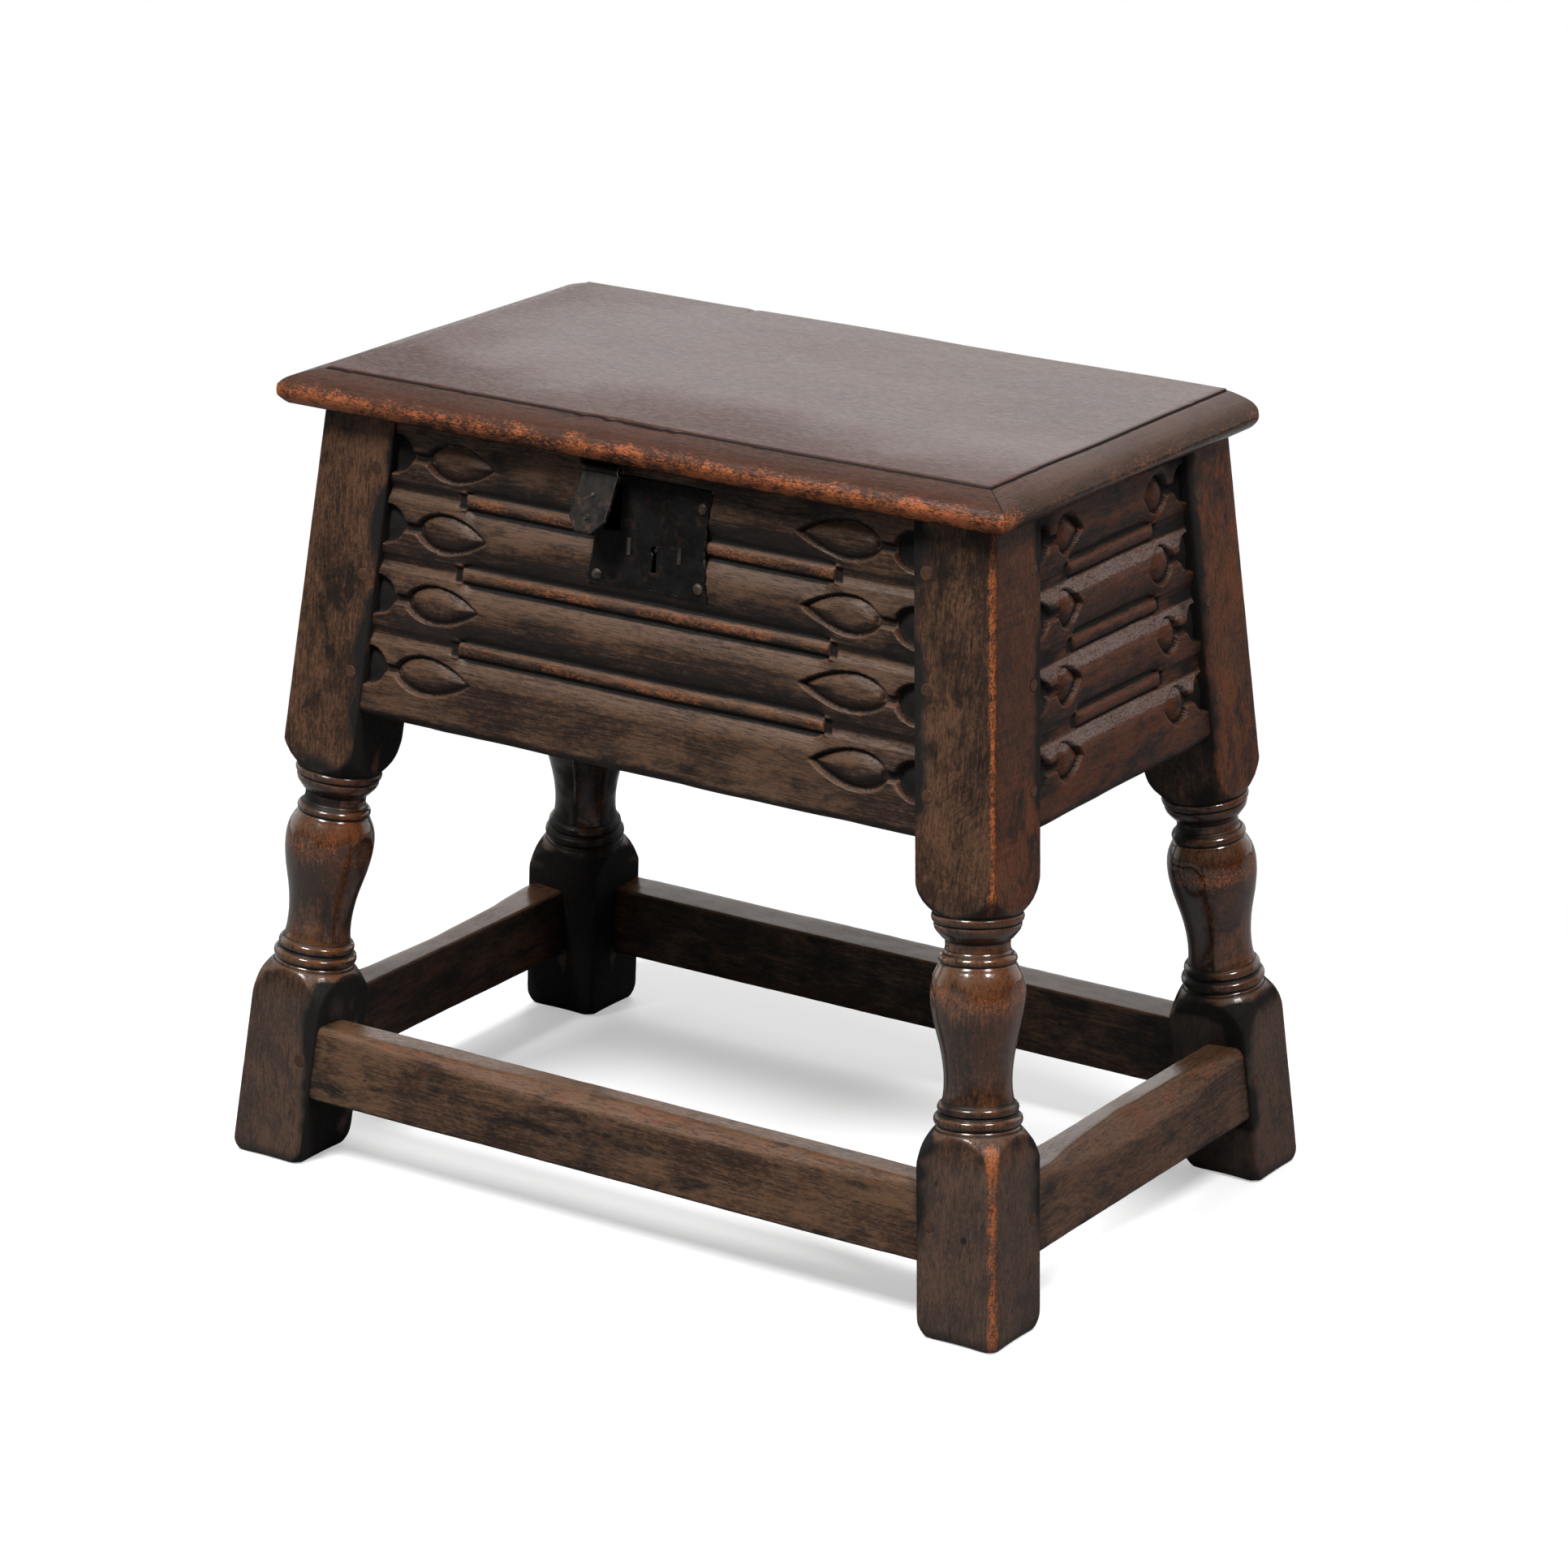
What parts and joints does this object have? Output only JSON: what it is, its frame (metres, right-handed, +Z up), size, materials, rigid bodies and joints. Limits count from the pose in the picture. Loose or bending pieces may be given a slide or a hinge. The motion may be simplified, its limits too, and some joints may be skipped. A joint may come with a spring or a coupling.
{
  "type": "box stool",
  "caption": "Joined oak box stool: carved box with a hinged moulded lid and an iron lock and hasp, on splayed turned legs tied by low stretchers.",
  "frame": {"origin": "on the floor under the middle of the stool, at the centre of the overall size", "axes": "+X along the long side to the right as seen from the front, +Y from the front to the back, +Z up; the lock's side is the front and faces -Y"},
  "size_m": [0.545, 0.362, 0.49],
  "materials": {
    "oak": "old dark oak with a waxed brown-black patina, worn orange-brown on its edges",
    "iron": "dark hand-forged iron, dull, with a trace of brown"
  },
  "bodies": {
    "box": {"leg_front_right": "oak", "leg_front_left": "oak", "leg_back_right": "oak", "leg_back_left": "oak", "rail_front": "oak", "rail_back": "oak", "rail_right": "oak", "rail_left": "oak", "stretcher_front": "oak", "stretcher_back": "oak", "stretcher_right": "oak", "stretcher_left": "oak", "ledge_front": "oak", "ledge_back": "oak", "bottom_board_front": "oak", "bottom_board_back": "oak", "rail_pegs": "oak", "stretcher_pegs": "oak", "lock_case": "iron", "bolt_keeps": "iron", "ward_bridge": "iron", "key_pin": "iron", "bolt_spring": "iron", "lock_plate": "iron", "plate_nails": "iron", "hinge_left_box_leaf": "iron", "hinge_right_box_leaf": "iron", "hinge_left_pin": "iron", "hinge_right_pin": "iron", "ledge_nails": "iron", "bottom_nails": "iron", "hinge_nails_box": "iron"},
    "lid": {"lid_board": "oak", "hasp_eye": "iron", "hinge_left_lid_leaf": "iron", "hinge_right_lid_leaf": "iron", "hinge_nails_lid": "iron"},
    "hasp": {"hasp_strap": "iron", "hasp_loop": "iron"},
    "bolt": {"lock_bolt": "iron"}
  },
  "joints": [
    {"name": "lid_hinge", "type": "hinge", "parent": "box", "child": "lid", "pos_m": [0, 0.1372, 0.46775], "axis": [-1, 0, 0], "range_deg": [0, 100]},
    {"name": "hasp_hinge", "type": "hinge", "parent": "lid", "child": "hasp", "pos_m": [-0.026, -0.13967, 0.461], "axis": [-1, 0, 0], "range_deg": [-34, 75]},
    {"name": "bolt_slide", "type": "slide", "parent": "box", "child": "bolt", "axis": [-1, 0, 0], "range_m": [0, 0.012]}
  ]
}
